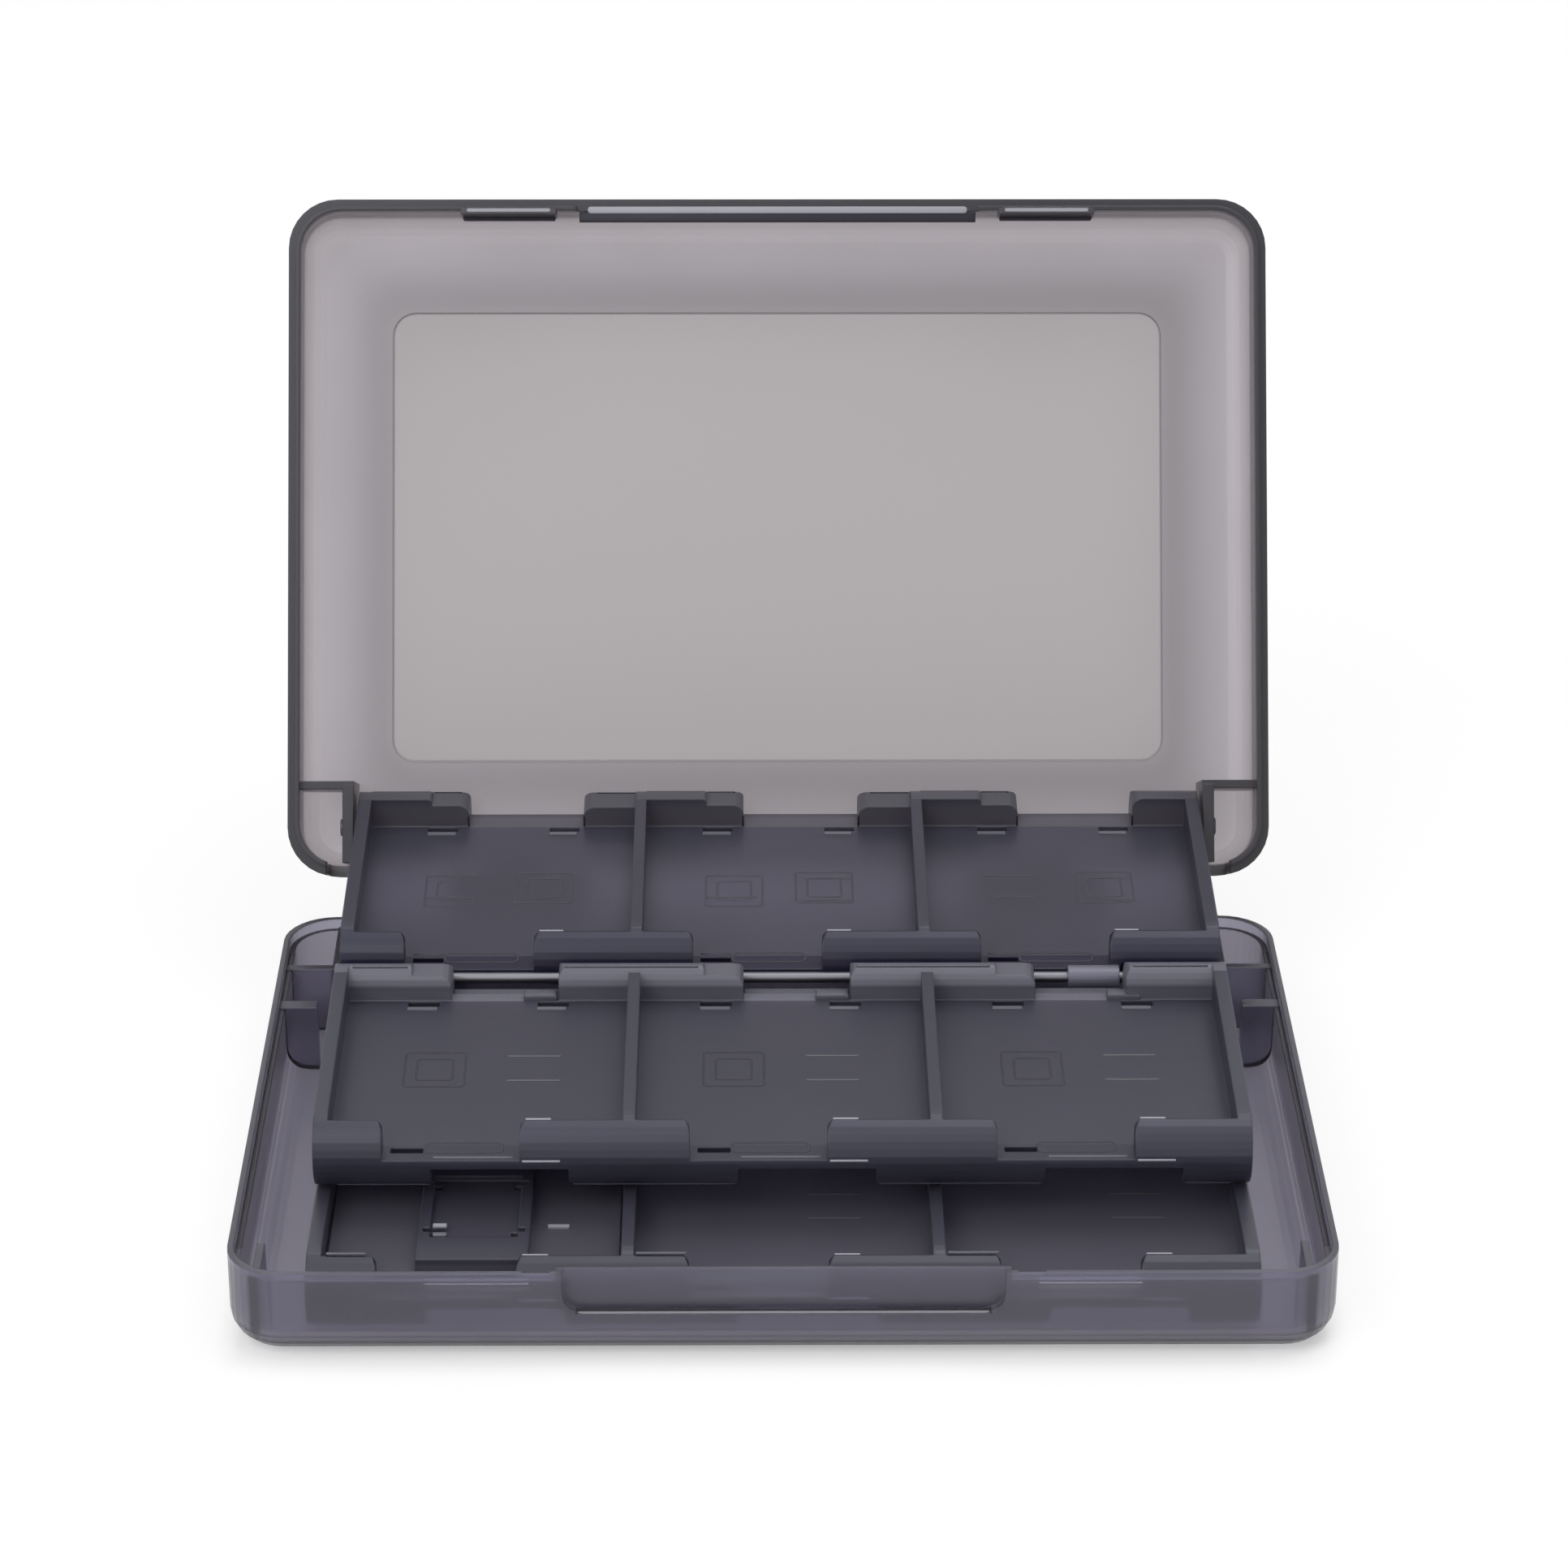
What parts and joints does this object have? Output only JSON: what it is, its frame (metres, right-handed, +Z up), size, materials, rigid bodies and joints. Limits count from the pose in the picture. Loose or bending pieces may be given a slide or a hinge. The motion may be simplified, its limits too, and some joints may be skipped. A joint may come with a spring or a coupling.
{
  "type": "game card case",
  "caption": "Hard flip-open case with double-sided folding trays of square pockets for game cards, shown open on its underside, lid leaning back.",
  "frame": {"origin": "centre of the base's underside, on the surface that the case lies on", "axes": "+X to the case's right, +Y from the front latch to the hinges, +Z up"},
  "size_m": [0.14, 0.1529, 0.1041],
  "materials": {
    "smoke_shell": "smoky, slightly see-through grey-violet plastic with a soft sheen",
    "smoke_tray": "dark smoky grey plastic with a soft sheen",
    "frosted_insert": "pale frosted plastic sheet",
    "moulded_pin": "smoky plastic, as the shells",
    "steel_rod": "plain drawn steel wire"
  },
  "bodies": {
    "base": {"base_shell": "smoke_shell", "lower_rear_tray": "smoke_tray", "lower_front_tray": "smoke_tray", "lower_tray_rod": "steel_rod", "lower_pivot_pin_left": "moulded_pin", "lower_pivot_pin_right": "moulded_pin", "memory_card_holder": "smoke_tray", "lid_hinge_pin_left": "steel_rod", "lid_hinge_pin_right": "steel_rod"},
    "lid": {"lid_shell": "smoke_shell", "lid_insert_panel": "frosted_insert", "upper_pivot_pin_left": "moulded_pin", "upper_pivot_pin_right": "moulded_pin"},
    "rear_upper_tray": {"upper_rear_tray": "smoke_tray", "upper_tray_rod": "steel_rod"},
    "front_upper_tray": {"upper_front_tray": "smoke_tray"}
  },
  "joints": [
    {"name": "lid_hinge", "type": "hinge", "parent": "base", "child": "lid", "pos_m": [0, 0.0508, 0.0152], "axis": [1, 0, 0], "range_deg": [0, 118]},
    {"name": "upper_tray_pivot", "type": "hinge", "parent": "lid", "child": "rear_upper_tray", "pos_m": [0, 0.05742, 0.02233], "axis": [1, 0, 0], "range_deg": [-121.5, 0]},
    {"name": "upper_tray_fold", "type": "hinge", "parent": "rear_upper_tray", "child": "front_upper_tray", "pos_m": [0, 0.01625, 0.01981], "axis": [1, 0, 0], "range_deg": [0, 0.501]}
  ],
  "couplings": [
    {"joint": "upper_tray_pivot", "follows": "lid_hinge", "ratio": -1.0297},
    {"joint": "upper_tray_fold", "follows": "lid_hinge", "ratio": 0.0042373}
  ]
}
